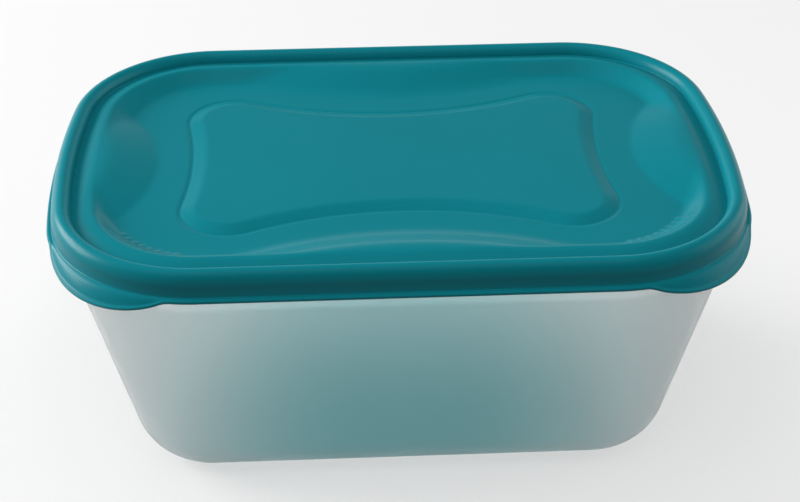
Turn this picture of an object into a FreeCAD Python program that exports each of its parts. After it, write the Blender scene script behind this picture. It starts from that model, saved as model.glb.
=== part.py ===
import FreeCAD, Part
import math
import os
import re

import Sketcher

# A food storage container of moulded polypropylene: a drafted tub with a rounded base
# and a push-on lid.  Millimetres, +Z up, the origin at the centre of the base.
# The lid's rim is a rounded channel that grips the tub's rim.  Inside it lie a groove, a
# ridge, a sunk panel that swells up in the middle of each side, and a low cushion with
# hollow sides.

document = FreeCAD.newDocument("container")
sheet = document.addObject("Spreadsheet::Sheet", "sizes")

SIZES = [
    # the outline, shared by both pieces
    ("lid_length", 202.4),  # between the middles of the two bowed ends
    ("lid_width", 138.0),
    ("corner_radius", 43.0),
    ("end_radius", 280.0),  # the ends are long flat arcs
    ("overall_height", 87.5),
    # the lid's rim
    ("lid_sheet", 1.2),
    ("skirt_height", 8.5),
    ("lip_flare", 1.6),
    ("lip_thickness", 1.2),
    ("bead_width", 5.6),
    ("bead_round", 2.4),
    ("groove_depth", 6.0),
    ("groove_floor", 0.9),
    # the four corner tabs
    ("tab_radius", 34.0),
    ("tab_reach", 4.0),  # how far a tab stands out of the lid's outline
    ("tab_angle", 48.0),  # degrees from the long axis
    ("tab_droop", 3.0),
    ("tab_thickness", 1.4),
    # the panel
    ("panel_drop", 5.4),
    ("wall_run", 0.77),  # run for each millimetre that the wall round the panel rises
    ("ridge_drop", 1.3),  # of the ridge between the groove and the panel
    ("ridge_width", 1.5),
    ("ridge_run", 1.3),  # run for each millimetre that its inner side falls
    ("side_swell_reach", 27.0),  # from the lid's side to the swell's inner edge
    ("side_swell_radius", 110.0),
    ("side_swell_run", 2.95),  # run for each millimetre that the swell rises
    ("end_swell_reach", 29.7),
    ("end_swell_radius", 52.0),
    ("end_swell_run", 3.45),
    ("cushion_gap", 12.3),  # from the side swell's inner edge to the cushion's waist
    ("cushion_side_margin", 28.5),
    ("cushion_end_margin", 37.8),
    ("cushion_end_hollow", 2.3),
    ("cushion_corner", 14.0),
    ("cushion_wall", 5.0),
    ("cushion_rise", 1.3),
    # the tub
    ("tub_wall", 1.2),
    ("tub_floor", 1.8),
    ("tub_inset", 1.6),  # of its wall, where it leaves the lid
    ("draft_run", 20.0),  # of the wall, from the lid's lip down to the base
    ("base_round", 17.0),
    ("foot_recess", 0.6),
    ("foot_width", 5.0),
    ("foot_corner", 8.0),
    ("rim_show", 0.8),  # how far the tub's rim shows below the lid's lip
    ("rim_gap", 0.3),  # between the tub's rim and the lid's skirt
    ("plug_gap", 0.4),  # between the tub's rim and the lid's inner wall
]
for row, (alias, value) in enumerate(SIZES, start=1):
    sheet.set("A%d" % row, alias)
    sheet.set("B%d" % row, str(value))
    sheet.setAlias("B%d" % row, alias)
document.recompute()

ALIAS = re.compile(r"\b(%s)\b" % "|".join(alias for alias, _ in SIZES))


def number(expression):
    """What an expression in the sheet's aliases comes to now."""
    return float(sheet.evalExpression("(%s) + 0" % expression))


def bind(thing, path, expression):
    """Tie a property to an expression in the sheet's aliases."""
    thing.setExpression(path, ALIAS.sub(r"sizes.\1", expression))


# levels
LIP = "(overall_height - skirt_height)"
ROOF = "(overall_height - lid_sheet)"  # of the channel inside the lid's rim
PANEL = "(overall_height - panel_drop)"
GROOVE = "(overall_height - groove_depth)"
RIM_FOOT = "(overall_height - skirt_height - rim_show)"

# how far a cutting solid runs on past what it cuts
BEYOND = "1"

# insets from the outline
RIM_OUTER = "(lid_sheet + rim_gap)"
RIM_INNER = "(bead_width - lid_sheet - plug_gap)"
WALL_FOOT = "(bead_width + groove_floor)"
BASE_INSET = "(tub_inset + draft_run)"

# the underside's slopes run parallel to those above them, one sheet away
WALL_SHIFT = "(lid_sheet * tan(atan(1 / wall_run) / 2))"
RIDGE_SHIFT = "(lid_sheet * tan(atan(1 / ridge_run) / 2))"

# the middle of the outline's corner arc
CORNER_Y = "(lid_width / 2 - corner_radius)"
CORNER_X = "(lid_length / 2 - end_radius + sqrt((end_radius - corner_radius)^2 - %s^2))" % CORNER_Y


# ---------------------------------------------------------------- sketches


class Drawing:
    """A sketch at a level, with its constraints named and bound as they are added."""

    def __init__(self, holder, name, level):
        if holder.isDerivedFrom("PartDesign::Body"):
            self.sketch = holder.newObject("Sketcher::SketchObject", name)
            plane = [f for f in holder.Origin.OriginFeatures if f.Role == "XY_Plane"][0]
            self.sketch.AttachmentSupport = (plane, [""])
            self.sketch.MapMode = "FlatFace"
            bind(self.sketch, "AttachmentOffset.Base.z", level)
        else:
            self.sketch = holder.addObject("Sketcher::SketchObject", name)
            bind(self.sketch, "Placement.Base.z", level)
        self.count = 0

    def add(self, geometry):
        return self.sketch.addGeometry(geometry, False)

    def fix(self, kind, where, expression):
        """A dimension that follows an expression."""
        index = self.sketch.addConstraint(Sketcher.Constraint(kind, *where, number(expression)))
        self.count += 1
        label = "size%d" % self.count
        self.sketch.renameConstraint(index, label)
        bind(self.sketch, "Constraints." + label, expression)

    def join(self, first, first_end, second, second_end):
        """Two edges that meet end to end with a common tangent."""
        where = (first, first_end, second, second_end)
        self.sketch.addConstraint(Sketcher.Constraint("Tangent", *where))


START, END, CENTRE = 1, 2, 3
ORIGIN = (-1, 1)
QUARTERS = ((1, 1), (-1, 1), (-1, -1), (1, -1))


def arc(centre, radius, start, end):
    """An arc run anticlockwise from one point to another."""
    circle = Part.Circle(FreeCAD.Vector(*centre, 0), FreeCAD.Vector(0, 0, 1), radius)
    angles = [math.atan2(p[1] - centre[1], p[0] - centre[0]) for p in (start, end)]
    return Part.ArcOfCircle(circle, *angles)


def outline(drawing, inset, corner_size=None):
    """The container's outline moved in by an inset: straight sides, bowed ends."""
    if corner_size is None:
        corner_size = "corner_radius - (%s)" % inset
    corner = number(corner_size)
    side_y = number("lid_width / 2 - (%s)" % inset)
    end_radius = number("end_radius - (%s)" % inset)
    end_x = number("lid_length / 2 - end_radius")
    centre_y = side_y - corner
    centre_x = end_x + math.sqrt((end_radius - corner) ** 2 - centre_y ** 2)
    reach = corner / (end_radius - corner)
    touch_x = centre_x + (centre_x - end_x) * reach
    touch_y = centre_y + centre_y * reach

    sides = []
    for sign in (1, -1):
        ends = [FreeCAD.Vector(sign * along * centre_x, sign * side_y, 0) for along in (1, -1)]
        sides.append(drawing.add(Part.LineSegment(*ends)))
    corners = []
    for x, y in QUARTERS:
        centre = (x * centre_x, y * centre_y)
        on_end = (x * touch_x, y * touch_y)
        on_side = (x * centre_x, y * side_y)
        points = (on_end, on_side) if x == y else (on_side, on_end)
        corners.append(drawing.add(arc(centre, corner, *points)))
    ends = []
    for x in (1, -1):
        points = ((x * touch_x, -x * touch_y), (x * touch_x, x * touch_y))
        ends.append(drawing.add(arc((x * end_x, 0), end_radius, *points)))

    drawing.join(ends[0], END, corners[0], START)
    drawing.join(corners[0], END, sides[0], START)
    drawing.join(sides[0], END, corners[1], START)
    drawing.join(corners[1], END, ends[1], START)
    drawing.join(ends[1], END, corners[2], START)
    drawing.join(corners[2], END, sides[1], START)
    drawing.join(sides[1], END, corners[3], START)
    drawing.join(corners[3], END, ends[0], START)
    for corner_arc in corners:
        drawing.fix("Radius", (corner_arc,), corner_size)
    for sign, side, end_arc in zip(("", "-"), sides, ends):
        drawing.sketch.addConstraint(Sketcher.Constraint("Horizontal", side))
        drawing.fix("DistanceY", (*ORIGIN, side, START), "%s(lid_width / 2 - (%s))" % (sign, inset))
        drawing.fix("Radius", (end_arc,), "end_radius - (%s)" % inset)
        drawing.fix("DistanceX", (*ORIGIN, end_arc, CENTRE), "%s(lid_length / 2 - end_radius)" % sign)
        drawing.fix("DistanceY", (*ORIGIN, end_arc, CENTRE), "0")


def outline_sketch(holder, name, level, *insets):
    """One loop for each inset."""
    drawing = Drawing(holder, name, level)
    for inset in insets:
        outline(drawing, inset)
    return drawing.sketch


def circle_sketch(name, level, x, y, radius):
    drawing = Drawing(document, name, level)
    centre = FreeCAD.Vector(number(x), number(y), 0)
    circle = drawing.add(Part.Circle(centre, FreeCAD.Vector(0, 0, 1), number(radius)))
    drawing.fix("Radius", (circle,), radius)
    drawing.fix("DistanceX", (*ORIGIN, circle, CENTRE), x)
    drawing.fix("DistanceY", (*ORIGIN, circle, CENTRE), y)
    return drawing.sketch


def cushion_sketch(name, level, inset):
    """Four round corners joined by hollow arcs, moved in by an inset."""
    x = "lid_length / 2 - cushion_end_margin - cushion_corner"
    y = "lid_width / 2 - cushion_side_margin - cushion_corner"
    radius = number("cushion_corner - (%s)" % inset)
    centre_x = number(x)
    centre_y = number(y)
    waist = number("lid_width / 2 - side_swell_reach - cushion_gap - (%s)" % inset)
    end = number("lid_length / 2 - cushion_end_margin - cushion_end_hollow - (%s)" % inset)

    def hollow(across, along, reach):
        """Radius of the arc through reach that touches both corner circles outside."""
        gap = reach - along
        return (across ** 2 + gap ** 2 - radius ** 2) / (2 * (radius - gap))

    side_radius = hollow(centre_x, centre_y, waist)
    end_radius = hollow(centre_y, centre_x, end)
    side_centre = waist + side_radius
    end_centre = end + end_radius

    def towards(centre, target):
        """The point of a corner circle that faces a target."""
        dx = target[0] - centre[0]
        dy = target[1] - centre[1]
        share = radius / math.hypot(dx, dy)
        return (centre[0] + dx * share, centre[1] + dy * share)

    drawing = Drawing(document, name, level)
    touches = []
    corners = []
    for sx, sy in QUARTERS:
        centre = (sx * centre_x, sy * centre_y)
        on_side = towards(centre, (0, sy * side_centre))
        on_end = towards(centre, (sx * end_centre, 0))
        touches.append((on_end, on_side) if sx == sy else (on_side, on_end))
        corners.append(drawing.add(arc(centre, radius, *touches[-1])))
    hollows = []
    for k, centre, hollow_radius in (
        (0, (0, side_centre), side_radius),
        (1, (-end_centre, 0), end_radius),
        (2, (0, -side_centre), side_radius),
        (3, (end_centre, 0), end_radius),
    ):
        following = (k + 1) % 4
        points = (touches[following][0], touches[k][1])
        hollows.append(drawing.add(arc(centre, hollow_radius, *points)))
    for k in range(4):
        drawing.join(corners[k], END, hollows[k], END)
        drawing.join(hollows[k], START, corners[(k + 1) % 4], START)
    for (sx, sy), corner in zip(QUARTERS, corners):
        drawing.fix("Radius", (corner,), "cushion_corner - (%s)" % inset)
        drawing.fix("DistanceX", (*ORIGIN, corner, CENTRE), "%d * (%s)" % (sx, x))
        drawing.fix("DistanceY", (*ORIGIN, corner, CENTRE), "%d * (%s)" % (sy, y))
    middle = "lid_width / 2 - side_swell_reach - cushion_gap - (%s)" % inset
    tip = "lid_length / 2 - cushion_end_margin - cushion_end_hollow - (%s)" % inset
    for hollow_arc, place in (
        (hollows[0], ("0", middle)),
        (hollows[1], ("-(%s)" % tip, "0")),
        (hollows[2], ("0", "-(%s)" % middle)),
        (hollows[3], (tip, "0")),
    ):
        at = FreeCAD.Vector(*(number(p) for p in place), 0)
        mark = drawing.sketch.addGeometry(Part.Point(at), True)
        drawing.fix("DistanceX", (*ORIGIN, mark, START), place[0])
        drawing.fix("DistanceY", (*ORIGIN, mark, START), place[1])
        passing = Sketcher.Constraint("PointOnObject", mark, START, hollow_arc)
        drawing.sketch.addConstraint(passing)
    return drawing.sketch


# ---------------------------------------------------------------- solids


def extrusion(name, base, height, lean_x="0", lean_y="0"):
    """A closed sketch carried up to a height, leaning by a run for each millimetre."""
    solid = document.addObject("Part::Extrusion", name)
    solid.Base = base
    solid.DirMode = "Custom"
    solid.Dir = FreeCAD.Vector(0, 0, 1)
    bind(solid, "Dir.x", lean_x)
    bind(solid, "Dir.y", lean_y)
    solid.Solid = True
    bind(solid, "LengthFwd", "%s * sqrt((%s)^2 + (%s)^2 + 1)" % (height, lean_x, lean_y))
    return solid


def block(name, low, height, *insets):
    """The outline at one inset, or the ring between two, with upright walls."""
    return extrusion(name, outline_sketch(document, name + "_outline", low, *insets), height)


def frustum(name, *stations):
    """The solid through (level, inset) stations of the outline, in flat and conical faces."""
    solid = document.addObject("Part::Loft", name)
    solid.Sections = [
        outline_sketch(document, "%s_station%d" % (name, n), level, inset)
        for n, (level, inset) in enumerate(stations, start=1)
    ]
    solid.Solid = True
    solid.Ruled = True
    return solid


def fused(name, *shapes):
    result = document.addObject("Part::MultiFuse", name)
    result.Shapes = list(shapes)
    return result


def common(name, *shapes):
    result = document.addObject("Part::MultiCommon", name)
    result.Shapes = list(shapes)
    return result


def cut(name, base, tool):
    result = document.addObject("Part::Cut", name)
    result.Base = base
    result.Tool = tool
    return result


def check(*things):
    """Stop on an object that failed without raising."""
    document.recompute()
    for thing in document.Objects:
        states = set(thing.State)
        assert not states & {"Invalid", "Error"}, "%s failed: %s" % (thing.Name, thing.State)
    for thing in things:
        assert not thing.Shape.isNull(), thing.Name + " is empty"
        assert thing.Shape.isValid(), thing.Name + " isn't valid"


def level_edges(shape, level):
    """Numbers of the edges that lie wholly at a level."""
    tolerance = 1e-4
    found = []
    for index, edge in enumerate(shape.Edges, start=1):
        box = edge.BoundBox
        if abs(box.ZMin - level) < tolerance and abs(box.ZMax - level) < tolerance:
            found.append(index)
    return found


# ---------------------------------------------------------------- the tub


def make_tub():
    """A drafted shell with a rounded base, a foot ring and a thick upright rim."""
    tub = document.addObject("PartDesign::Body", "tub")
    tub.Label = "tub"

    outer = tub.newObject("PartDesign::AdditiveLoft", "tub_outside")
    outer.Profile = outline_sketch(tub, "tub_mouth", LIP, "tub_inset")
    outer.Sections = [outline_sketch(tub, "tub_base", "0", BASE_INSET)]
    outer.Ruled = True
    check(tub)

    # the inside keeps the wall's thickness square to its slope
    slope = "(draft_run / %s)" % LIP
    thick = "(tub_wall * sqrt(1 + %s^2))" % slope
    floor_inset = "(%s - tub_floor * %s + %s)" % (BASE_INSET, slope, thick)
    inner = tub.newObject("PartDesign::SubtractiveLoft", "tub_inside")
    inner.Profile = outline_sketch(tub, "tub_mouth_inside", LIP, "tub_inset + " + thick)
    inner.Sections = [outline_sketch(tub, "tub_floor_outline", "tub_floor", floor_inset)]
    inner.Ruled = True
    check(tub)
    hollowed = tub.newObject("PartDesign::Fillet", "tub_floor_round")
    floor_edges = level_edges(inner.Shape, number("tub_floor"))
    hollowed.Base = (inner, ["Edge%d" % n for n in floor_edges])
    bind(hollowed, "Radius", "base_round - tub_wall")
    check(tub)
    rounded = tub.newObject("PartDesign::Fillet", "tub_base_round")
    rounded.Base = (hollowed, ["Edge%d" % n for n in level_edges(hollowed.Shape, 0)])
    bind(rounded, "Radius", "base_round")
    check(tub)

    rim = tub.newObject("PartDesign::Pad", "tub_rim")
    rim.Profile = outline_sketch(tub, "tub_rim_outline", RIM_FOOT, RIM_OUTER, RIM_INNER)
    bind(rim, "Length", "skirt_height + rim_show - lid_sheet")
    check(tub)

    # the foot ring runs just inside the rounded edge of the base
    foot = tub.newObject("PartDesign::Pocket", "tub_foot")
    angle = "(45 deg - atan(%s) / 2)" % slope
    flat_inset = "(%s + base_round * tan(%s) + foot_width)" % (BASE_INSET, angle)
    recess = Drawing(tub, "tub_foot_outline", "0")
    outline(recess, flat_inset, "foot_corner")
    foot.Profile = recess.sketch
    foot.Reversed = True
    bind(foot, "Length", "foot_recess")
    check(tub)
    assert foot.Shape.Volume < rim.Shape.Volume, "the foot's recess cuts nothing"
    return tub


# ---------------------------------------------------------------- the lid


def swells(name, drop, height):
    """Slanted cylinders whose near sides make the four swells, lowered by a drop."""
    level = "%s - (%s)" % (PANEL, drop)
    solids = []
    for sign, side, end in ((1, "back", "right"), (-1, "front", "left")):
        y = "%d * (lid_width / 2 - side_swell_reach + side_swell_radius)" % sign
        disc = circle_sketch("%s_%s" % (name, side), level, "0", y, "side_swell_radius")
        lean = "%d * side_swell_run" % sign
        solids.append(extrusion("%s_%s_solid" % (name, side), disc, height, lean_y=lean))
        x = "%d * (lid_length / 2 - end_swell_reach + end_swell_radius)" % sign
        disc = circle_sketch("%s_%s" % (name, end), level, x, "0", "end_swell_radius")
        lean = "%d * end_swell_run" % sign
        solids.append(extrusion("%s_%s_solid" % (name, end), disc, height, lean_x=lean))
    return solids


def relief(name, drop, wall_shift, ridge_shift):
    """The panel with its wall, ridge, swells and cushion, as the solid below its surface."""
    floor = "%s - (%s)" % (GROOVE, drop)
    panel = "%s - (%s)" % (PANEL, drop)
    crest = "(panel_drop + %s)" % BEYOND
    panel_inset = "(%s + wall_run * (groove_depth - panel_drop) + (%s))" % (WALL_FOOT, wall_shift)
    foot_inset = "(%s + (%s))" % (WALL_FOOT, wall_shift)
    crest_inset = "(%s + wall_run * %s)" % (panel_inset, crest)
    plate = frustum(name + "_plate", (floor, foot_inset), (panel, panel_inset))
    walls = frustum(name + "_walls", (panel, panel_inset), (panel + " + " + crest, crest_inset))
    discs = swells(name + "_swell", drop, crest)

    # the ridge: the lowest part of the walls, less the bowl inside it
    rise = "(panel_drop - ridge_drop)"
    inner_edge = "(%s + wall_run * (groove_depth - ridge_drop) + ridge_width - (%s))" % (WALL_FOOT, ridge_shift)
    bowl = frustum(
        name + "_bowl",
        (panel, "(%s + ridge_run * %s)" % (inner_edge, rise)),
        ("%s + %s + %s" % (panel, rise, BEYOND), "(%s - ridge_run * %s)" % (inner_edge, BEYOND)),
    )
    low_walls = common(name + "_low_walls", walls, block(name + "_ridge_level", panel, rise, "0"))
    ridge = cut(name + "_ridge", low_walls, bowl)
    cushion = document.addObject("Part::Loft", name + "_cushion")
    cushion.Sections = [
        cushion_sketch(name + "_cushion_foot", panel, "0"),
        cushion_sketch(name + "_cushion_top", panel + " + cushion_rise", "cushion_wall"),
    ]
    cushion.Solid = True
    cushion.Ruled = True
    check(plate, walls, ridge, cushion, *discs)
    raised = [common("%s_raised%d" % (name, n), walls, disc) for n, disc in enumerate(discs, start=1)]
    whole = fused(name, plate, ridge, cushion, *raised)
    check(whole)
    return whole


def make_rim():
    """The lid's rounded bead with the groove's floor inside it."""
    ring = cut(
        "bead_square",
        block("bead_block", LIP, "skirt_height", "0"),
        block("bead_bowl", GROOVE, "(groove_depth + %s)" % BEYOND, "bead_width"),
    )
    check(ring)
    bead = document.addObject("Part::Fillet", "bead")
    bead.Base = ring
    radius = number("bead_round")
    top_edges = level_edges(ring.Shape, number("overall_height"))
    bead.Edges = [(n, radius, radius) for n in top_edges]
    return bead


def make_tabs():
    """A drooping round tab at each corner of the lip: a shallow cone of even thickness."""
    away = "(corner_radius + tab_reach - tab_radius)"
    edge = "%s - tab_droop" % LIP
    tabs = []
    for n, (x, y) in enumerate(QUARTERS, start=1):
        over = document.addObject("Part::Cone", "tab%d_over" % n)
        brim = document.addObject("Part::Cylinder", "tab%d_brim" % n)
        under = document.addObject("Part::Cone", "tab%d_under" % n)
        for cone, trim in ((over, "0"), (under, "tab_thickness / 2")):
            bind(cone, "Radius1", "tab_radius - " + trim)
            bind(cone, "Radius2", "tab_radius - tab_reach - lid_sheet - " + trim)
            bind(cone, "Height", "tab_droop + lip_thickness")
        bind(brim, "Radius", "tab_radius")
        bind(brim, "Height", "tab_thickness")
        for solid, lower in ((over, "0"), (brim, "tab_thickness"), (under, "tab_thickness")):
            bind(solid, "Placement.Base.x", "%d * (%s + %s * cos(tab_angle))" % (x, CORNER_X, away))
            bind(solid, "Placement.Base.y", "%d * (%s + %s * sin(tab_angle))" % (y, CORNER_Y, away))
            bind(solid, "Placement.Base.z", "%s - %s" % (edge, lower))
        tabs.append(cut("tab%d" % n, fused("tab%d_whole" % n, over, brim), under))
    return tabs


def make_lid():
    """All that lies below the top surface, less all that lies below the underside."""
    top = fused(
        "lid_top",
        make_rim(),
        block("lip", LIP, "lip_thickness", "-lip_flare", "lid_sheet / 2"),
        *make_tabs(),
        relief("top_relief", "0", "0", "0"),
    )
    check(top)
    depth = "(skirt_height + tab_droop + tab_thickness + %s)" % BEYOND
    bottom = "%s - %s" % (ROOF, depth)
    under = fused(
        "lid_under",
        block("channel_ring", bottom, depth, "lid_sheet", "bead_width - lid_sheet"),
        block("under_bowl", bottom, "(%s - groove_depth)" % depth, "lid_sheet"),
        relief("under_relief", "lid_sheet", WALL_SHIFT, RIDGE_SHIFT),
    )
    check(under)
    lid = cut("lid", top, under)
    lid.Label = "lid"
    check(lid)
    return lid


# ---------------------------------------------------------------- write the pieces

pieces = [make_tub(), make_lid()]
os.makedirs("parts", exist_ok=True)
for piece in pieces:
    shape = piece.Shape
    assert len(shape.Solids) == 1, "%s is %d solids" % (piece.Label, len(shape.Solids))
    shape.exportStep("parts/%s.step" % piece.Label)
    box = shape.BoundBox
    print(
        "%-4s %8.0f mm3  x %.1f..%.1f  y %.1f..%.1f  z %.1f..%.1f"
        % (piece.Label, shape.Volume, box.XMin, box.XMax, box.YMin, box.YMax, box.ZMin, box.ZMax)
    )
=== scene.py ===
# %% [markdown]
# # A food storage container with its lid on
#
# The object is two mouldings of polypropylene: a frosted tub that light passes through, and
# a teal lid pressed over its rim.  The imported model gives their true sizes.  Both pieces are
# rebuilt here as surfaces worked out with numpy, because the lid's swells, its cushion and
# its rounded bead need edges of a given softness, which a modelled surface gives and a
# mesh of loose triangles doesn't.

# %% Load the frame
import math

import bpy
import numpy as np
from mathutils import Matrix, Vector


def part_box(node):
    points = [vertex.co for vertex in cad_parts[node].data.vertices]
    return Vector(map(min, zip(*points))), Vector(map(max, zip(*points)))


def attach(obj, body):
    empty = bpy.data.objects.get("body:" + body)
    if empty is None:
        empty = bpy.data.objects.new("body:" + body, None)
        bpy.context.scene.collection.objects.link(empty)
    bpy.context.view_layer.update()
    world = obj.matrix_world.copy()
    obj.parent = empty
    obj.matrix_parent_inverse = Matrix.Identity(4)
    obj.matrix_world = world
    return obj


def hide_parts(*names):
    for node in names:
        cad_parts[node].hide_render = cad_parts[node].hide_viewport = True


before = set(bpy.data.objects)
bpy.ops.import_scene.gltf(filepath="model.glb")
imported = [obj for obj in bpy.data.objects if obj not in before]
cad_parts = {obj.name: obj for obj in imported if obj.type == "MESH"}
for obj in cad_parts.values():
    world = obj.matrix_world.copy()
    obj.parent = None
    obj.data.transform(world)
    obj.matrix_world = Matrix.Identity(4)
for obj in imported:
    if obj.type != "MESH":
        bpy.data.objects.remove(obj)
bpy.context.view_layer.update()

# %% [markdown]
# ## Sizes
#
# The overall sizes come from the frame.  The rest are the moulding's own sizes in
# millimetres, each given where it is first needed.  An inset is a distance measured square
# to the lid's outline, inwards, so a whole wall or groove is one number.

# %% Overall sizes, in millimetres
MM = 0.001
LIP_FLARE = 1.6
lid_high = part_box("lid")[1]
tub_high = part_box("tub")[1]
HALF_WIDTH = lid_high.y / MM - LIP_FLARE
HALF_LENGTH = lid_high.x / MM - LIP_FLARE
TOP = lid_high.z / MM
CORNER_RADIUS = 43.0
END_RADIUS = 280.0
SHEET = 1.2
print("lid %.1f by %.1f, %.1f high" % (2 * HALF_LENGTH, 2 * HALF_WIDTH, TOP))

# %% [markdown]
# ## The outline
#
# Seen from above, the lid is a long rounded shape: straight sides, ends that bow out a
# little and corners of one radius.  A curve object could hold it, but then each inset would
# need its own curve.  Here it is an array of points with an array of outward directions, so
# any inset of it is one line of arithmetic and all rings have matching points.

# %% Arcs and lines that carry their outward directions
def arc(centre, radius, start, stop, count, side=1):
    """Points at centre + radius * (cos, sin) of an angle that runs evenly from start to
    stop.  A hollow arc has side -1: there outwards is towards the centre."""
    turn = np.linspace(start, stop, count, endpoint=False)
    away = np.stack([np.cos(turn), np.sin(turn)], axis=1)
    return np.array(centre) + radius * away, side * away


def line(start, stop, count):
    """Points spaced evenly from start to stop; outwards is to the right of the way."""
    share = np.linspace(0, 1, count, endpoint=False)[:, None]
    along = np.subtract(stop, start)
    away = np.array([along[1], -along[0]]) / np.hypot(*along)
    return np.array(start) + share * along, np.tile(away, (count, 1))


def twice(*stretches):
    """Half an outline, and the same half turned round the middle."""
    points = np.concatenate([places for places, _ in stretches])
    away = np.concatenate([directions for _, directions in stretches])
    return np.concatenate([points, -points]), np.concatenate([away, -away])


print("a quarter turn of radius 1 starts at", arc((0, 0), 1, 0, math.pi / 2, 4)[0][0])

# %% The lid's outline and its rings
SIDE_COUNT, CORNER_COUNT, END_COUNT = 97, 53, 53
corner_y = HALF_WIDTH - CORNER_RADIUS
end_centre = END_RADIUS - HALF_LENGTH
corner_x = math.sqrt((END_RADIUS - CORNER_RADIUS) ** 2 - corner_y ** 2) - end_centre
lean = math.atan2(corner_y, corner_x + end_centre)
OUTLINE = twice(
    arc((corner_x, corner_y), CORNER_RADIUS, lean, math.pi / 2, CORNER_COUNT),
    line((corner_x, HALF_WIDTH), (-corner_x, HALF_WIDTH), SIDE_COUNT),
    arc((-corner_x, corner_y), CORNER_RADIUS, math.pi / 2, math.pi - lean, CORNER_COUNT),
    arc((end_centre, 0), END_RADIUS, math.pi - lean, math.pi + lean, END_COUNT),
)


def ring(outline, inset, height):
    """A closed ring of points: the outline moved inwards, at a height.  Either may vary."""
    points, away = outline
    plan = points - np.reshape(inset, (-1, 1)) * away
    return np.column_stack([plan, np.broadcast_to(height, len(plan))])


print("outline of", len(OUTLINE[0]), "points, corners at", round(corner_x, 1), corner_y)

# %% [markdown]
# ## The cushion's outline
#
# In the middle of the panel is a low cushion shaped like a bone: four round corners joined
# by hollow sides.  A spline through a few points would do, but it wanders between them.
# Here each hollow side is one arc that touches both corner circles, and its radius follows
# from how deep the hollow is.

# %% Four round corners and hollow sides
CUSHION_X, CUSHION_Y, CUSHION_CORNER = 49.4, 26.5, 14.0
CUSHION_WAIST = 29.7
CUSHION_TIP = 61.1


def hollow(across, along, reach):
    """Radius of the arc that passes through reach and touches both corner circles."""
    gap = reach - along
    return (across ** 2 + gap ** 2 - CUSHION_CORNER ** 2) / (2 * (CUSHION_CORNER - gap))


side_hollow = hollow(CUSHION_X, CUSHION_Y, CUSHION_WAIST)
end_hollow = hollow(CUSHION_Y, CUSHION_X, CUSHION_TIP)
side_centre = CUSHION_WAIST + side_hollow
tip_centre = CUSHION_TIP + end_hollow
first = math.atan2(-CUSHION_Y, tip_centre - CUSHION_X)
last = math.atan2(side_centre - CUSHION_Y, -CUSHION_X)
CUSHION = twice(
    arc((CUSHION_X, CUSHION_Y), CUSHION_CORNER, first, last, CORNER_COUNT),
    arc((0, side_centre), side_hollow, last - math.pi, -last, SIDE_COUNT, side=-1),
    arc((-CUSHION_X, CUSHION_Y), CUSHION_CORNER, math.pi - last, math.pi - first, CORNER_COUNT),
    arc((-tip_centre, 0), end_hollow, -first, first, END_COUNT, side=-1),
)
print("hollow radii", round(side_hollow), round(end_hollow))

# %% [markdown]
# ## The panel's height
#
# Inside the bead lie a narrow groove, a wall that leans inwards up to a ridge, and then the
# sunk panel.  In the middle of each side the panel swells up to the ridge in a broad slope
# whose foot is an arc.  Such a surface could be sculpted or bevelled, but a formula of x and
# y is exact: distance past a foot line, divided by the slope's run.  Soft functions round
# the corners between slopes, so that no crease is sharper than a mould could make it.

# %% Soft corners between two heights
def soft_above(height, rounding):
    """The height where it is above zero, else zero, with a parabola between."""
    return np.clip(height + rounding, 0, 2 * rounding) ** 2 / (4 * rounding) + np.maximum(
        height - rounding, 0
    )


def lower_of(first_height, second_height, rounding):
    """The lower of two heights, rounded off where they meet."""
    return first_height - soft_above(first_height - second_height, rounding)


def higher_of(first_height, second_height, rounding):
    """The higher of two heights, filled in softly where they meet."""
    return first_height + soft_above(second_height - first_height, rounding)


print("rounding at a corner of 1 mm:", lower_of(0.0, 0.0, 1.0), higher_of(0.0, 0.0, 1.0))

# %% The swells in the middle of each side
SIDE_REACH, SIDE_RADIUS, SIDE_RUN = 27.0, 110.0, 2.65
END_REACH, END_RADIUS_OF_SWELL, END_RUN = 29.7, 52.0, 3.45
SIDE_FOOT, END_FOOT = 1.2, 0.3  # half the height over which a swell's foot is rounded


def hill(forward, sideways, foot, radius, run):
    """Distance past an arc that bulges inwards, over the run for each millimetre of rise."""
    bow = radius - np.sqrt(np.maximum(radius ** 2 - sideways ** 2, 0))
    return (forward - foot - bow) / run


def swell(points):
    """Height above the panel of the four swells, at the x and y of each point."""
    x, y = np.abs(points[:, 0]), np.abs(points[:, 1])
    sides = hill(y, x, HALF_WIDTH - SIDE_REACH, SIDE_RADIUS, SIDE_RUN)
    ends = hill(x, y, HALF_LENGTH - END_REACH, END_RADIUS_OF_SWELL, END_RUN)
    return np.maximum(soft_above(sides, SIDE_FOOT), soft_above(ends, END_FOOT))


print("swells reach %.1f and %.1f mm in" % (SIDE_REACH, END_REACH))

# %% The groove, its wall, the shoulder and the ridge
PANEL, GROOVE = TOP - 5.4, TOP - 3.5
WALL_FOOT, WALL_RUN = 5.9, 2.3
WALL_TOP = WALL_FOOT + WALL_RUN * (PANEL - GROOVE)  # inset at which the wall is panel-high
RIDGE, RIDGE_WIDTH, RIDGE_RUN = 4.1, 0.9, 1.3
RIDGE_FOOT = WALL_TOP + (WALL_RUN + RIDGE_RUN) * RIDGE + RIDGE_WIDTH
CREST = WALL_TOP + WALL_RUN * RIDGE
SHOULDER_TILT = 0.05
GROOVE_ROUNDING, RIDGE_ROUNDING, CREST_ROUNDING = 0.35, 0.6, 1.2


def shoulder(inset, shift):
    """Height above the panel of the outer side: the groove, the wall that leans inwards as it
    rises, and the almost level shoulder between its crest and the top of a swell."""
    wall = higher_of(GROOVE - PANEL, (inset - WALL_TOP - shift) / WALL_RUN, GROOVE_ROUNDING)
    return lower_of(wall, RIDGE + SHOULDER_TILT * (inset - CREST - shift), RIDGE_ROUNDING)


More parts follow.
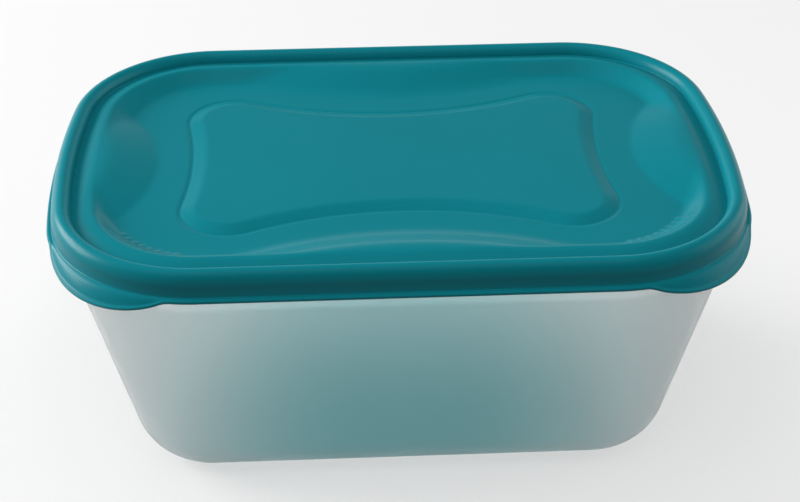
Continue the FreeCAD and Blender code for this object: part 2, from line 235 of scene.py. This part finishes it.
def slopes(points, inset, shift):
    """Height above the panel of the swells and of the ridge's inner side."""
    inner = (RIDGE_FOOT - shift - inset) / RIDGE_RUN
    inner = lower_of(inner, RIDGE, RIDGE_ROUNDING)
    return higher_of(swell(points), inner, SIDE_FOOT)


print("groove from %.1f, crest at %.1f, ridge foot at %.1f" % (WALL_FOOT, CREST, RIDGE_FOOT))

# %% [markdown]
# ## The cushion's edge and the fine ribs
#
# The cushion stands a little above the panel behind a fine pressed line, and a few small ribs
# stiffen the two front corners.  Both could be a bump in the material, but they cast small
# shades and show at a grazing angle, so they are real height on the same rings.

# %% The cushion's edge, from outside to inside
CUSHION_RISE = 1.1
CUSHION_WALL = 5.0
LINE_DEPTH, LINE_WIDTH = 0.25, 0.7


def cushion_height(inset):
    """A fine line pressed in at the foot, then an S-shaped rise over the wall's width."""
    share = np.clip(inset / CUSHION_WALL, 0, 1)
    rise = CUSHION_RISE * share ** 2 * (3 - 2 * share)
    return rise - LINE_DEPTH * math.exp(-((inset / LINE_WIDTH) ** 2))


print("cushion %.1f mm high, line %.2f mm deep" % (CUSHION_RISE, LINE_DEPTH))

# %% Small ribs in the front corners
RIB_HEIGHT = 0.5
RIB_TURNS = 28.0, 78.0  # degrees of the outline's direction between which they lie
RIB_INSETS = 13.6, 19.0
POINTS_PER_RIB = 4


def ribs(inset):
    """Height of the fine ribs.  They lie square to the outline on the ridge's inner side, a
    cosine of the outline's direction, and fade out at both ends of their band."""
    points, away = OUTLINE
    turn = np.degrees(np.arctan2(np.abs(away[:, 1]), np.abs(away[:, 0])))
    pitch = POINTS_PER_RIB * (90 - math.degrees(lean)) / CORNER_COUNT
    wave = 0.5 + 0.5 * np.cos(2 * np.pi * (turn - math.degrees(lean)) / pitch)
    around = (turn > RIB_TURNS[0]) & (turn < RIB_TURNS[1]) & (points[:, 1] < 0)
    across = np.minimum(inset - RIB_INSETS[0], RIB_INSETS[1] - inset)
    return RIB_HEIGHT * wave * around * np.clip(across, 0, 1)


print("ribs up to %.2f mm high" % ribs(sum(RIB_INSETS) / 2).max())

# %% [markdown]
# ## Rings of the panel
#
# The panel is built as rings from the groove to the middle.  A plain grid of x and y would
# cut across the groove and leave steps in it.  The first rings follow the lid's outline, the
# last ones the cushion's, and those between are blends of the two.  Rings lie close together
# where the surface bends and far apart where it is flat.

# %% Insets of the rings between the groove and the ridge's foot
CREST_BAND = 1.3  # half the width of the band of close rings at the wall's crest
PAST_RIDGE = 2.6  # how far past the ridge's foot the rings follow the lid's outline


def rim_insets(shift, near_crest, inward):
    """Evenly up the wall, evenly over the crest, then evenly down to the panel."""
    crest = CREST + shift
    climb = crest - CREST_BAND - WALL_FOOT - shift
    fall = RIDGE_FOOT + PAST_RIDGE - crest - CREST_BAND
    steps = np.linspace(0, 1, near_crest, endpoint=False)
    insets = [WALL_FOOT + shift + t * climb for t in steps]
    insets += [crest + t * CREST_BAND for t in np.linspace(-1, 1, near_crest, endpoint=False)]
    return insets + [crest + CREST_BAND + t * fall for t in np.linspace(0, 1, inward)]


print(len(rim_insets(0, 7, 17)), "rings follow the outline")

# %% Rings from the groove to the middle
def towards_middle(edge, count):
    """Rings that shrink evenly from an edge ring to the middle."""
    shares = np.linspace(1, 0, count + 1, endpoint=False)[1:]
    return [edge * (share, share, 1) for share in shares]


def panel_rings(drop, shift, near_crest, inward, between, at_cushion, inside):
    """The surface lowered by drop, with its slopes shifted apart, as a list of rings.  Only
    the top has ribs: the underside is plain."""
    level = PANEL - drop
    made = []
    for inset in rim_insets(shift, near_crest, inward):
        points = ring(OUTLINE, inset, 0)
        surface = lower_of(shoulder(inset, shift), slopes(points, inset, shift), CREST_ROUNDING)
        points[:, 2] = level + surface + ribs(inset) * (drop == 0)
        made.append(points)
    outer = made[-1]
    inner = ring(CUSHION, at_cushion[0], 0)
    for share in np.linspace(0, 1, between + 1, endpoint=False)[1:]:
        points = outer + share * (inner - outer)
        points[:, 2] = level + swell(points)
        made.append(points)
    for inset in at_cushion:
        points = ring(CUSHION, inset, 0)
        points[:, 2] = level + swell(points) + cushion_height(inset)
        made.append(points)
    return made + towards_middle(made[-1], inside)


FINE_EDGE = [-2.5, -1.8, -1.3, -0.9, -0.6, -0.3, 0, 0.3, 0.6, 0.9, 1.3, 1.8, 2.4, 3.0, 3.6,
             4.2, 4.7, 5.2, 6.0, 7.0]
top_rings = panel_rings(
    0, 0, near_crest=7, inward=17, between=20, at_cushion=FINE_EDGE, inside=12
)
print(len(top_rings), "rings in the panel")

# %% [markdown]
# ## The rim of the lid
#
# Round the panel runs the bead: a hollow channel that grips the tub's rim.  Below it a thin
# lip stands out, and at each corner the lip grows into a round finger tab that droops.  A
# tab is not a piece of its own, so it isn't added: the lip's width is a function of the
# place along the outline, and where a tab's circle reaches further than the lip, that
# distance takes over.

# %% How far the lip and its tabs reach
LIP_TOP = TOP - 7.3
TAB_RADIUS, TAB_REACH, TAB_ANGLE = 34.0, 4.0, math.radians(48)
TAB_BLEND = 0.25
TAB_DROOP, DROOP_CURVE = 4.2, 0.8


def tab_reach():
    """Largest distance, square to the outline, at which a tab's circle is met."""
    points, away = OUTLINE
    stand = CORNER_RADIUS + TAB_REACH - TAB_RADIUS
    towards = np.array([math.cos(TAB_ANGLE), math.sin(TAB_ANGLE)])
    offset = points - np.sign(points) * (np.array([corner_x, corner_y]) + stand * towards)
    along = (offset * away).sum(axis=1)
    inside = along ** 2 - (offset ** 2).sum(axis=1) + TAB_RADIUS ** 2
    return np.where(inside > 0, np.sqrt(np.maximum(inside, 0)) - along, 0)


LIP_REACH = LIP_FLARE + soft_above(tab_reach() - LIP_FLARE, TAB_BLEND)
grown = np.clip((LIP_REACH - LIP_FLARE) / (TAB_REACH - LIP_FLARE), 0, 1)
DROOP = TAB_DROOP * grown ** DROOP_CURVE
print("lip reaches %.1f to %.1f mm" % (LIP_REACH.min(), LIP_REACH.max()))

# %% Profiles made of short arcs
def bend(centre, radius, start, stop, count, stretch=1.0):
    """Inset and height along an arc of a profile, stretched upright by a factor.  Angles are
    in degrees, 0 pointing inwards."""
    turn = np.radians(np.linspace(start, stop, count))
    insets = centre[0] + radius * np.cos(turn)
    heights = centre[1] + radius * stretch * np.sin(turn)
    return list(zip(insets, heights))


def profile_rings(outline, profile):
    """One ring for each inset and height of a profile."""
    return [ring(outline, inset, height) for inset, height in profile]


print("an upright half turn goes through", [round(v) for v in bend((0, 0), 10, 0, 180, 3)[1]])

# %% The bead, from the groove over its top and down to the lip
BEAD_OUTER, BEAD_INNER, BEAD_FALL = 3.1, 2.6, 4.2
INNER_START, INNER_END = 8, 84  # degrees; both ends stop short, which leaves small bevels
GROOVE_CORNER, LIP_CORNER, LIP_BEVEL = 0.15, 0.4, 0.1
inner_stretch = (TOP - GROOVE) / BEAD_INNER
outer_stretch = BEAD_FALL / BEAD_OUTER
bead = [(WALL_FOOT - GROOVE_CORNER, GROOVE)]
bead += bend((BEAD_OUTER, GROOVE), BEAD_INNER, INNER_START, INNER_END, 12, inner_stretch)
bead += bend((BEAD_OUTER, TOP - BEAD_FALL), BEAD_OUTER, 90, 180, 15, outer_stretch)
bead += [(0, LIP_TOP + LIP_CORNER + LIP_BEVEL)]
bead += bend((-LIP_CORNER, LIP_TOP + LIP_CORNER), LIP_CORNER, 0, -90, 3)[1:]
print("bead of", len(bead), "rings")

# %% The channel underneath, from the lip up to its roof and down to the groove
LIP_THICKNESS = 1.2
CHANNEL_INNER = 4.4
OUTER_CORNER, INNER_CORNER, UNDER_CORNER = 1.8, 0.6, 0.3
roof = TOP - SHEET
lip_under = LIP_TOP - LIP_THICKNESS
channel = [(SHEET - LIP_CORNER, lip_under), (SHEET, lip_under + LIP_CORNER)]
channel += bend((SHEET + OUTER_CORNER, roof - OUTER_CORNER), OUTER_CORNER, 180, 90, 6)
channel += bend((CHANNEL_INNER - INNER_CORNER, roof - INNER_CORNER), INNER_CORNER, 90, 0, 4)
channel += [(CHANNEL_INNER, GROOVE - SHEET + UNDER_CORNER)]
channel += [(CHANNEL_INNER + UNDER_CORNER, GROOVE - SHEET)]
print("channel from inset %.1f to %.1f" % (SHEET, CHANNEL_INNER))

# %% The lip
LIP_CURVE = 1.6


def lip_rings():
    """Out along the lip's top, which sinks towards a tab's edge, round the edge and back."""
    half = LIP_THICKNESS / 2
    width = LIP_REACH - half - LIP_CORNER
    rings = []
    for share in (0.12, 0.3, 0.5, 0.7, 0.87, 1.0):
        reach = LIP_CORNER + share * width
        rings.append(ring(OUTLINE, -reach, LIP_TOP - DROOP * share ** LIP_CURVE))
    for turn in np.radians([60, 30, 0, -30, -60, -90]):
        reach = LIP_REACH - half + half * math.cos(turn)
        rings.append(ring(OUTLINE, -reach, LIP_TOP - DROOP - half + half * math.sin(turn)))
    for share in (0.8, 0.55, 0.3, 0.0):
        reach = LIP_CORNER + share * width
        rings.append(ring(OUTLINE, -reach, lip_under - DROOP * share ** LIP_CURVE))
    return rings


print("lip of", len(lip_rings()), "rings")

# %% [markdown]
# ## Joining the rings
#
# All rings have the same number of points, so the faces are quads between neighbours and
# come from one array of indices.  Bridging edge loops in Blender gives the same faces, but
# it has to guess which points belong together.

# %% Join rings into a closed mesh
def ring_faces(ring_count, count):
    """Quads between neighbouring rings, and a fan to one middle point at each end.  The two
    middle points come after all rings."""
    here = np.arange(count)
    after = np.roll(here, -1)
    base = (np.arange(ring_count - 1) * count)[:, None]
    sides = [base + here, base + after, base + count + after, base + count + here]
    last_ring = (ring_count - 1) * count
    start = ring_count * count
    fans = np.concatenate([
        np.stack([np.full(count, start), after, here], axis=1),
        np.stack([np.full(count, start + 1), last_ring + here, last_ring + after], axis=1),
    ])
    return np.stack(sides, axis=2).reshape(-1, 4), fans


def closed_mesh(name, rings):
    """A piece from its rings.  If its volume, a sum over corners a . (b x c) / 6, comes out
    negative, the rings ran the wrong way, so the faces are turned."""
    rings = np.array(rings)
    poles = np.array([rings[0].mean(axis=0), rings[-1].mean(axis=0)])
    points = np.concatenate([rings.reshape(-1, 3), poles]) * MM
    quads, fans = ring_faces(*rings.shape[:2])
    triangles = np.concatenate([quads[:, :3], quads[:, [0, 2, 3]], fans])
    corners = points[triangles]
    volume = np.einsum("ij,ij->", corners[:, 0], np.cross(corners[:, 1], corners[:, 2])) / 6
    if volume < 0:
        quads, fans = quads[:, ::-1], fans[:, ::-1]
    mesh = bpy.data.meshes.new(name)
    mesh.from_pydata(points.tolist(), [], quads.tolist() + fans.tolist())
    mesh.polygons.foreach_set("use_smooth", np.ones(len(mesh.polygons), bool))
    mesh.update()
    piece = bpy.data.objects.new(name, mesh)
    bpy.context.scene.collection.objects.link(piece)
    print(name, len(triangles), "triangles", round(abs(volume) * 1e6, 1), "cm3")
    return piece


# %% The lid
COARSE_EDGE = [-1.0, 0, 1.5, 3.5, 5, 6]
under_shift = SHEET * math.tan(math.atan(1 / WALL_RUN) / 2)
under_rings = panel_rings(
    SHEET, under_shift, near_crest=3, inward=6, between=6, at_cushion=COARSE_EDGE, inside=5
)
lid_rings = top_rings[::-1] + profile_rings(OUTLINE, bead) + lip_rings()
lid_rings += profile_rings(OUTLINE, channel) + under_rings
lid = closed_mesh("teal_lid", lid_rings)
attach(lid, "root")
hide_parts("lid")

# %% [markdown]
# ## The tub
#
# The tub's walls lean out by about one in four so that it leaves its mould and nests.  It
# could be a solid with its inside cut away, but it is simpler as one profile carried round
# the outline: foot ring, large base rounding, slanted wall, thick rim, and back down the
# inside one wall's thickness away.

# %% The lean of the tub's walls and the rounding of its base
WALL_TOP_LEVEL = TOP - 8.5
TUB_INSET, DRAFT, TUB_WALL, TUB_FLOOR = 1.6, 20.0, 1.2, 1.8
BASE_ROUND = 17.0
slope = DRAFT / WALL_TOP_LEVEL
draft_angle = math.degrees(math.atan(slope))


def wall_inset(height, depth=0.0):
    """Inset of the wall at a height, and of the surface a depth inside it."""
    return TUB_INSET + slope * (WALL_TOP_LEVEL - height) + depth * math.hypot(1, slope)


def base_bend(floor, radius, depth, count):
    """The arc that joins the floor to the wall, from the floor up."""
    height = floor + radius
    centre = (wall_inset(height, depth + radius), height)
    return bend(centre, radius, 270, 180 + draft_angle, count)


print("walls lean out by %.1f degrees" % draft_angle)

# %% The outside: foot ring, base, wall and rim
FOOT_WIDTH, FOOT_RECESS, FOOT_EASE = 5.0, 0.6, 0.1
RIM_OUTER, RIM_INNER, RIM_CORNER = 1.5, 4.0, 1.2
OUTER_STEP, INNER_STEP = (1.0, 0.7), (0.6, 1.2)  # below the walls' top, where rim meets wall
rim_top = tub_high.z / MM
base = base_bend(0, BASE_ROUND, 0, 20)
foot_inset = base[0][0] + FOOT_WIDTH
outside = [(foot_inset + FOOT_RECESS, FOOT_RECESS)]
outside += [(foot_inset + FOOT_EASE, FOOT_RECESS - FOOT_EASE)]
outside += [(foot_inset, FOOT_EASE), (foot_inset - 2 * FOOT_EASE, 0)] + base
wall_levels = np.linspace(base[-1][1], WALL_TOP_LEVEL - OUTER_STEP[0], 14)
outside += [(wall_inset(h), h) for h in wall_levels[1:]]
outside += [(RIM_OUTER, WALL_TOP_LEVEL - OUTER_STEP[1])]
outside += bend((RIM_OUTER + RIM_CORNER, rim_top - RIM_CORNER), RIM_CORNER, 180, 90, 6)
outside += bend((RIM_INNER - RIM_CORNER, rim_top - RIM_CORNER), RIM_CORNER, 90, 0, 6)
outside += [(RIM_INNER, WALL_TOP_LEVEL - INNER_STEP[0])]
print("outside of", len(outside), "rings")

# %% The inside, and the mesh
floor_bend = base_bend(TUB_FLOOR, BASE_ROUND - TUB_WALL, TUB_WALL, 16)
inside_levels = np.linspace(WALL_TOP_LEVEL - INNER_STEP[1], floor_bend[-1][1], 14)
inside = [(wall_inset(h, TUB_WALL), h) for h in inside_levels] + floor_bend[::-1][1:]
tub_rings = profile_rings(OUTLINE, outside + inside)
tub_rings = towards_middle(tub_rings[0], 6)[::-1] + tub_rings + towards_middle(tub_rings[-1], 8)
every_second_point = np.array(tub_rings)[:, ::2]  # enough, as the tub's walls are plain
tub = closed_mesh("frosted_tub", every_second_point)
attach(tub, "root")
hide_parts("tub")

# %% [markdown]
# ## Colours and nodes
#
# Colours are written as hex codes, as a colour picker shows them, and one function turns them
# to the linear light that Blender counts in.  Another adds a node with its settings and
# links, so each material reads from top to bottom as a list.

# %% Helpers for materials
def linear(code):
    """A hex colour as written for the screen, turned to linear light, and an alpha of 1."""
    shades = [int(code[k:k + 2], 16) / 255 for k in (0, 2, 4)]
    light = [s / 12.92 if s <= 0.04045 else ((s + 0.055) / 1.055) ** 2.4 for s in shades]
    return light + [1.0]


def add(tree, kind, inputs=(), **settings):
    """A node with its settings, and with each input linked or given a value."""
    node = tree.nodes.new(kind)
    for name, value in settings.items():
        setattr(node, name, value)
    for name, value in dict(inputs).items():
        if isinstance(value, bpy.types.NodeSocket):
            tree.links.new(value, node.inputs[name])
        else:
            node.inputs[name].default_value = value
    return node


def blank(name):
    """A material with an empty node tree."""
    material = bpy.data.materials.new(name)
    material.use_nodes = True
    material.node_tree.nodes.clear()
    return material, material.node_tree


print("mid grey in linear light is %.3f" % linear("808080")[0])

# %% [markdown]
# ## The lid's plastic
#
# The lid is polypropylene with a teal pigment, moulded against a satin steel surface.  It
# needs a dull shine, a colour that varies a little where the melt flowed, and a fine grain.
# An even colour would look like paint, so slow noise moves the shade and fast noise moves
# the surface.

# %% Satin teal polypropylene
PLASTIC_IOR = 1.49
GRAIN_BUMP = 0.1 * MM
LID_FLOW, LID_GRAIN = 55.0, 0.65  # millimetres; real grain is finer than this and would not show


def satin_teal_polypropylene():
    """Pigmented polypropylene from a satin mould: soft-edged reflections, flow shades about
    as wide as a thumb is long, and a faint grain."""
    material, tree = blank("satin_teal_polypropylene")
    place = add(tree, "ShaderNodeTexCoord").outputs["Object"]
    flow = add(tree, "ShaderNodeTexNoise", {
        "Vector": place, "Scale": 1 / (LID_FLOW * MM), "Detail": 2.0,
    })
    shade = add(tree, "ShaderNodeValToRGB", {"Fac": flow.outputs["Fac"]})
    shade.color_ramp.elements[0].color = linear("0c7c88")
    shade.color_ramp.elements[1].color = linear("0c838f")
    grain = add(tree, "ShaderNodeTexNoise", {
        "Vector": place, "Scale": 1 / (LID_GRAIN * MM), "Detail": 2.0,
    })
    bump = add(tree, "ShaderNodeBump", {
        "Height": grain.outputs["Fac"], "Strength": 0.02, "Distance": GRAIN_BUMP,
    })
    plastic = add(tree, "ShaderNodeBsdfPrincipled", {
        "Base Color": shade.outputs["Color"], "Roughness": 0.30, "IOR": PLASTIC_IOR,
        "Specular IOR Level": 0.12, "Transmission Weight": 0.0, "Normal": bump.outputs["Normal"],
    })
    add(tree, "ShaderNodeOutputMaterial", {"Surface": plastic.outputs["BSDF"]})
    return material


lid.data.materials.append(satin_teal_polypropylene())
print("lid has", lid.data.materials[0].name)

# %% [markdown]
# ## The tub's plastic
#
# The tub is natural polypropylene, without pigment.  Light passes through it, and its fine
# grain scatters the light until only soft shapes show.  Subsurface scattering would be the
# true way, but it is slow in thin walls, so the wall is rough glass with a milky colour.
# The teal light that the lid throws into the tub is painted into the wall's colour: a painted
# teal glow that fades out towards the rim and the ends.

# %% Frosted natural polypropylene
TUB_CLOUD, TUB_GRAIN = 40.0, 0.8  # millimetres; the grain is drawn coarser than real, to show
# The teal is painted light: the lid's glow inside the tub, painted into the tub's colour.  These
# say where it fades.
PAINTED_TEAL_ENDS = 0.015, 0.095  # metres from the middle at which the tint starts and ends fading
PAINTED_TEAL_LEVELS = 0.025, 0.105


def frosted_natural_polypropylene():
    """Natural polypropylene from a blasted mould: milky, with blurred light through it.  The
    painted teal light from the lid is a product of two soft steps, one along the tub and one
    up its walls."""
    material, tree = blank("frosted_natural_polypropylene")
    place = add(tree, "ShaderNodeTexCoord").outputs["Object"]
    cloud = add(tree, "ShaderNodeTexNoise", {
        "Vector": place, "Scale": 1 / (TUB_CLOUD * MM), "Detail": 2.0,
    })
    shade = add(tree, "ShaderNodeValToRGB", {"Fac": cloud.outputs["Fac"]})
    shade.color_ramp.elements[0].color = linear("f8fbfb")
    shade.color_ramp.elements[1].color = linear("fcfefe")
    axes = add(tree, "ShaderNodeSeparateXYZ", {"Vector": place}).outputs
    side = add(tree, "ShaderNodeMath", {0: axes["X"]}, operation="ABSOLUTE")
    steps = []
    for value, (near, far) in ((side.outputs[0], PAINTED_TEAL_ENDS), (axes["Z"], PAINTED_TEAL_LEVELS)):
        steps.append(add(tree, "ShaderNodeMapRange", {
            "Value": value, "From Min": near, "From Max": far, "To Min": 1.0, "To Max": 0.0,
        }, interpolation_type="SMOOTHSTEP").outputs["Result"])
    share = add(tree, "ShaderNodeMath", {0: steps[0], 1: steps[1]}, operation="MULTIPLY")
    # Painted teal light: the glow that comes through the lid, mixed into the base colour.
    painted_teal_light = add(tree, "ShaderNodeMix", {
        "Factor": share.outputs[0], 6: shade.outputs["Color"], 7: linear("b0e2e5"),
    }, data_type="RGBA")
    grain = add(tree, "ShaderNodeTexNoise", {
        "Vector": place, "Scale": 1 / (TUB_GRAIN * MM), "Detail": 2.0,
    })
    bump = add(tree, "ShaderNodeBump", {
        "Height": grain.outputs["Fac"], "Strength": 0.08, "Distance": GRAIN_BUMP,
    })
    plastic = add(tree, "ShaderNodeBsdfPrincipled", {
        "Base Color": painted_teal_light.outputs[2], "Roughness": 0.4, "IOR": PLASTIC_IOR,
        "Transmission Weight": 0.93, "Normal": bump.outputs["Normal"],
    })
    add(tree, "ShaderNodeOutputMaterial", {"Surface": plastic.outputs["BSDF"]})
    return material


tub.data.materials.append(frosted_natural_polypropylene())
print("tub has", tub.data.materials[0].name)

# %% [markdown]
# ## The floor
#
# The container stands on a wide matt white floor.  A floor white enough to look white would
# throw so much light up that the tub loses its shape.  So the floor is grey for the light it
# passes on, and near white with a glow of its own for rays that come from the eye, from a
# reflection or through the plastic.  It still takes the container's shadow.

# %% A pale floor that stays white to the eye
FLOOR_REACH = 40.0
FLOOR_GAP = 0.0003
FLOOR_GLOW = 0.6

floor_mesh = bpy.data.meshes.new("floor")
signs = ((-1, -1), (1, -1), (1, 1), (-1, 1))
corners = [(x * FLOOR_REACH, y * FLOOR_REACH, 0) for x, y in signs]
floor_mesh.from_pydata(corners, [], [(0, 1, 2, 3)])
floor = bpy.data.objects.new("floor", floor_mesh)
floor.location.z = -FLOOR_GAP
bpy.context.scene.collection.objects.link(floor)
print("floor reaches", FLOOR_REACH, "m")

# %% Matt white paper
paper, tree = blank("matt_white_paper")
path = add(tree, "ShaderNodeLightPath").outputs
seen = path["Is Camera Ray"]
for kind in ("Is Glossy Ray", "Is Transmission Ray"):
    seen = add(tree, "ShaderNodeMath", {0: seen, 1: path[kind]}, operation="MAXIMUM").outputs[0]
tone = add(tree, "ShaderNodeMix", {
    "Factor": seen, 6: linear("585858"), 7: linear("f0f0f0"),
}, data_type="RGBA")
matt = add(tree, "ShaderNodeBsdfDiffuse", {"Color": tone.outputs[2]})
white = add(tree, "ShaderNodeEmission", {"Color": linear("fafafa"), "Strength": 1.0})
part = add(tree, "ShaderNodeMath", {0: seen, 1: FLOOR_GLOW}, operation="MULTIPLY")
lit = add(tree, "ShaderNodeMixShader", {
    0: part.outputs[0], 1: matt.outputs[0], 2: white.outputs[0],
})
add(tree, "ShaderNodeOutputMaterial", {"Surface": lit.outputs[0]})
paper.cycles.emission_sampling = "NONE"
floor.data.materials.append(paper)
print("floor has", paper.name)

# %% [markdown]
# ## Light
#
# The light is that of a plain room: a bright band low down all round, a window on the left
# that draws the lines along the bead and the ridge, a weaker wall on the right, and a broad
# light from above.  One image of a room could give all this, but four simple parts can be
# changed one at a time.  The light from above makes no reflections, because it would put a
# grey sheen on every level surface.

# %% The room's own light
# Each stop is the height of a direction and its brightness.  A new ramp has two stops, so the
# two ends come first.
SKY = (0.12, 1.0), (0.70, 0.14), (0.22, 0.45), (0.34, 0.18)
FRONT_LIGHT, BACK_LIGHT = (-0.6, 0.35), (0.3, 1.0)  # depth of a direction, strength

world = bpy.data.worlds.new("studio")
bpy.context.scene.world = world
world.use_nodes = True
tree = world.node_tree
tree.nodes.clear()
direction = add(tree, "ShaderNodeTexCoord").outputs["Generated"]
ways = add(tree, "ShaderNodeSeparateXYZ", {"Vector": direction}).outputs
glow = add(tree, "ShaderNodeValToRGB", {"Fac": ways["Z"]})
stops = glow.color_ramp.elements
for place, (position, shade) in enumerate(SKY):
    if place > 1:
        stop = stops.new(position)
    else:
        stop = stops[place]
        stop.position = position
    stop.color = (shade, shade, shade, 1)
depth = add(tree, "ShaderNodeMapRange", {
    "Value": ways["Y"], "From Min": FRONT_LIGHT[0], "From Max": BACK_LIGHT[0],
    "To Min": FRONT_LIGHT[1], "To Max": BACK_LIGHT[1],
})
air = add(tree, "ShaderNodeBackground", {
    "Color": glow.outputs["Color"], "Strength": depth.outputs["Result"],
})
add(tree, "ShaderNodeOutputWorld", {"Surface": air.outputs["Background"]})
print("sky of", len(stops), "stops")

# %% Lamps
LAMP_AIM = (0, 0, 0.08)


def softbox(name, place, width, height, power):
    """A rectangular lamp that faces the container."""
    lamp = bpy.data.lights.new(name, "AREA")
    lamp.shape = "RECTANGLE"
    lamp.size, lamp.size_y = width, height
    lamp.energy = power
    holder = bpy.data.objects.new(name, lamp)
    holder.location = place
    way = Vector(LAMP_AIM) - Vector(place)
    holder.rotation_euler = way.to_track_quat("-Z", "Y").to_euler()
    bpy.context.scene.collection.objects.link(holder)
    print(name, "lamp of", power, "W")
    return holder


softbox("window", (-1.15, 0.40, 0.52), 0.9, 0.6, 20.0)
softbox("far_wall", (1.15, 0.20, 0.45), 1.2, 0.8, 4.5)
ceiling = softbox("ceiling", (-0.1, -0.4, 1.45), 1.2, 1.2, 11.0)
ceiling.visible_glossy = False

# %% [markdown]
# ## The camera
#
# The camera looks down at the container from the front, a little from its left.  A tracking
# constraint would aim it, but it could not hold a small roll, so the camera's three
# directions are worked out from its angles and put into its matrix.

# %% Camera
AZIMUTH, PITCH, ROLL = 0.0474, 0.5686, -0.0038
DISTANCE, AIM_HEIGHT = 0.5295, 0.0492
SENSOR, LENS, SHIFT = 36.0, 76.46, 0.0044

ahead = Vector((math.sin(AZIMUTH), math.cos(AZIMUTH), 0))
forward = ahead * math.cos(PITCH) - Vector((0, 0, math.sin(PITCH)))
level = Vector((math.cos(AZIMUTH), -math.sin(AZIMUTH), 0))
upright = level.cross(forward)
right = level * math.cos(ROLL) + upright * math.sin(ROLL)
up = upright * math.cos(ROLL) - level * math.sin(ROLL)
camera_data = bpy.data.cameras.new("camera")
camera_data.sensor_width = SENSOR
camera_data.lens = LENS
camera_data.shift_x = SHIFT
camera = bpy.data.objects.new("camera", camera_data)
turn = Matrix((right, up, -forward)).transposed().to_4x4()
stand = Vector((0, 0, AIM_HEIGHT)) - DISTANCE * forward
camera.matrix_world = Matrix.Translation(stand) @ turn
bpy.context.scene.collection.objects.link(camera)
bpy.context.scene.camera = camera
bpy.context.scene.view_settings.view_transform = "Standard"
print("camera at", [round(value, 3) for value in stand])
